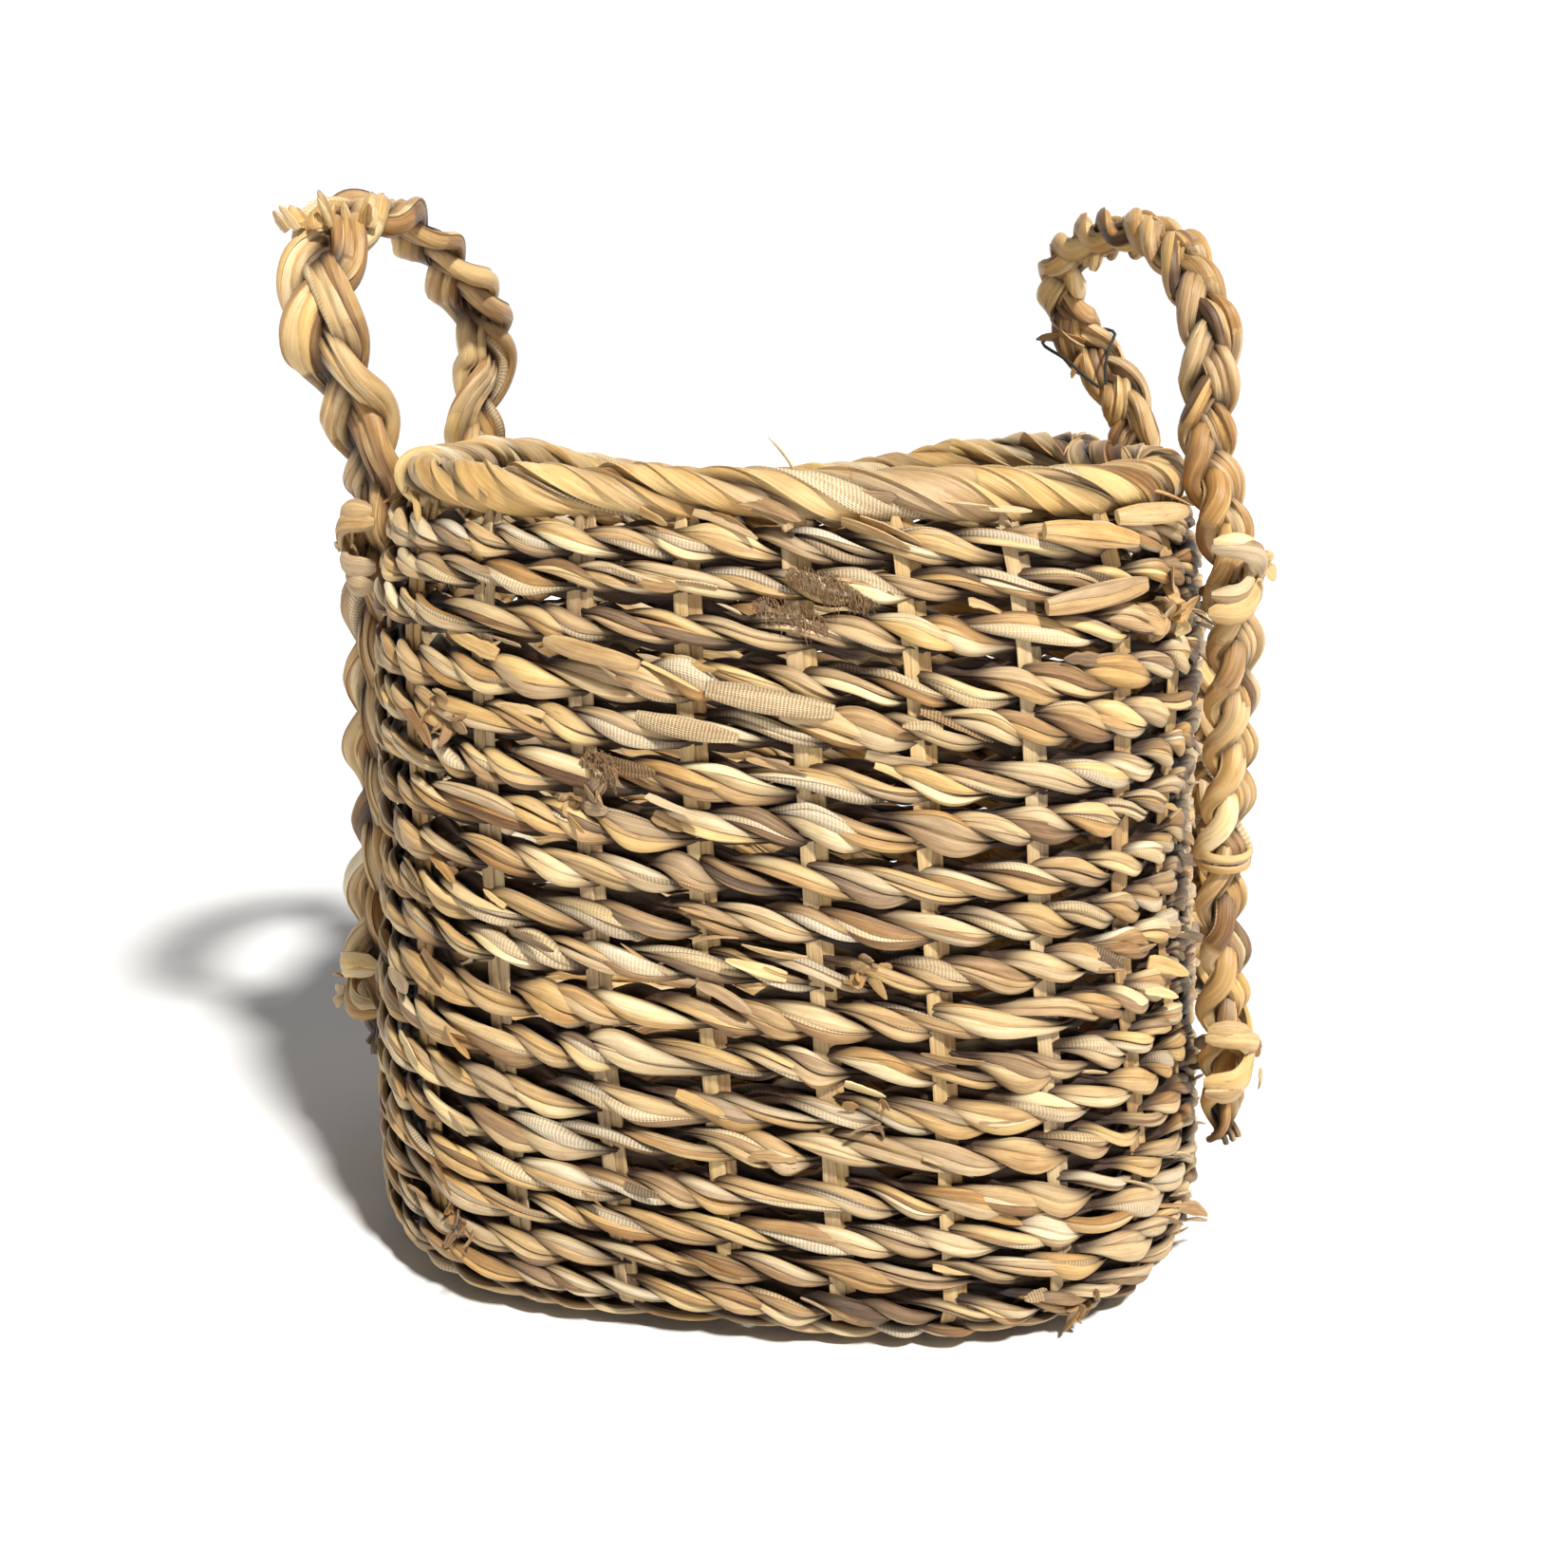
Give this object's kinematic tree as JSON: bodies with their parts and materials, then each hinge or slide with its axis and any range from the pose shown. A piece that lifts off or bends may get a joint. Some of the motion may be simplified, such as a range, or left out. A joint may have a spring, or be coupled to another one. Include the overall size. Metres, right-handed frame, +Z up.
{
  "type": "seagrass storage basket",
  "caption": "Rounded square storage basket twined from seagrass, with a thick cable rim and plaited side handles that flop in and out.",
  "frame": {"origin": "middle of the base, on the surface that the basket stands on", "axes": "+X towards the right handle, +Y towards the back wall, +Z up"},
  "size_m": [0.3447, 0.305, 0.3669],
  "materials": {
    "weft_seagrass": "dry folded seagrass leaf, straw to grey brown with pale netted patches",
    "stake_leaf": "flat double leaf strips, pale tan with fine lengthwise veins",
    "rim_seagrass": "broad twisted leaves, satin on their outer side",
    "base_seagrass": "matt flattened seagrass",
    "handle_plait": "tight three strand plait, satin leaf",
    "lashing_leaf": "twisted leaf binding with frayed ends",
    "black_thread": "matt black twisted thread"
  },
  "bodies": {
    "body": {"base_under": "base_seagrass", "base_upper": "base_seagrass", "stake_front_back_1": "stake_leaf", "stake_front_back_2": "stake_leaf", "stake_front_back_3": "stake_leaf", "stake_front_back_4": "stake_leaf", "stake_front_back_5": "stake_leaf", "stake_front_back_6": "stake_leaf", "stake_front_back_7": "stake_leaf", "stake_left_right_1": "stake_leaf", "stake_left_right_2": "stake_leaf", "stake_left_right_3": "stake_leaf", "stake_left_right_4": "stake_leaf", "stake_left_right_5": "stake_leaf", "stake_left_right_6": "stake_leaf", "stake_left_right_7": "stake_leaf", "weft_course_01": "weft_seagrass", "weft_course_02": "weft_seagrass", "weft_course_03": "weft_seagrass", "weft_course_04": "weft_seagrass", "weft_course_05": "weft_seagrass", "weft_course_06": "weft_seagrass", "weft_course_07": "weft_seagrass", "weft_course_08": "weft_seagrass", "weft_course_09": "weft_seagrass", "weft_course_10": "weft_seagrass", "weft_course_11": "weft_seagrass", "weft_course_12": "weft_seagrass", "weft_course_13": "weft_seagrass", "weft_course_14": "weft_seagrass", "weft_course_15": "weft_seagrass", "weft_course_16": "weft_seagrass", "weft_course_17": "weft_seagrass", "weft_course_18": "weft_seagrass", "weft_course_19": "weft_seagrass", "weft_course_20": "weft_seagrass", "rim_border": "rim_seagrass", "left_front_leg": "handle_plait", "left_back_leg": "handle_plait", "right_front_leg": "handle_plait", "right_back_leg": "handle_plait", "left_front_upper_lashing": "lashing_leaf", "left_front_lower_lashing": "lashing_leaf", "left_back_upper_lashing": "lashing_leaf", "left_back_lower_lashing": "lashing_leaf", "right_front_upper_lashing": "lashing_leaf", "right_front_lower_lashing": "lashing_leaf", "right_back_upper_lashing": "lashing_leaf", "right_back_lower_lashing": "lashing_leaf"},
    "left_handle": {"left_handle_loop": "handle_plait"},
    "right_handle": {"right_handle_loop": "handle_plait", "tag_thread": "black_thread"}
  },
  "joints": [
    {"name": "left_handle_flop", "type": "hinge", "parent": "body", "child": "left_handle", "pos_m": [-0.14425, -0.001, 0.29], "axis": [0.0401, 0.9992, 0], "range_deg": [-70, 70]},
    {"name": "right_handle_flop", "type": "hinge", "parent": "body", "child": "right_handle", "pos_m": [0.12875, -0.0025, 0.29], "axis": [0.1588, -0.9873, 0], "range_deg": [-70, 50]}
  ]
}
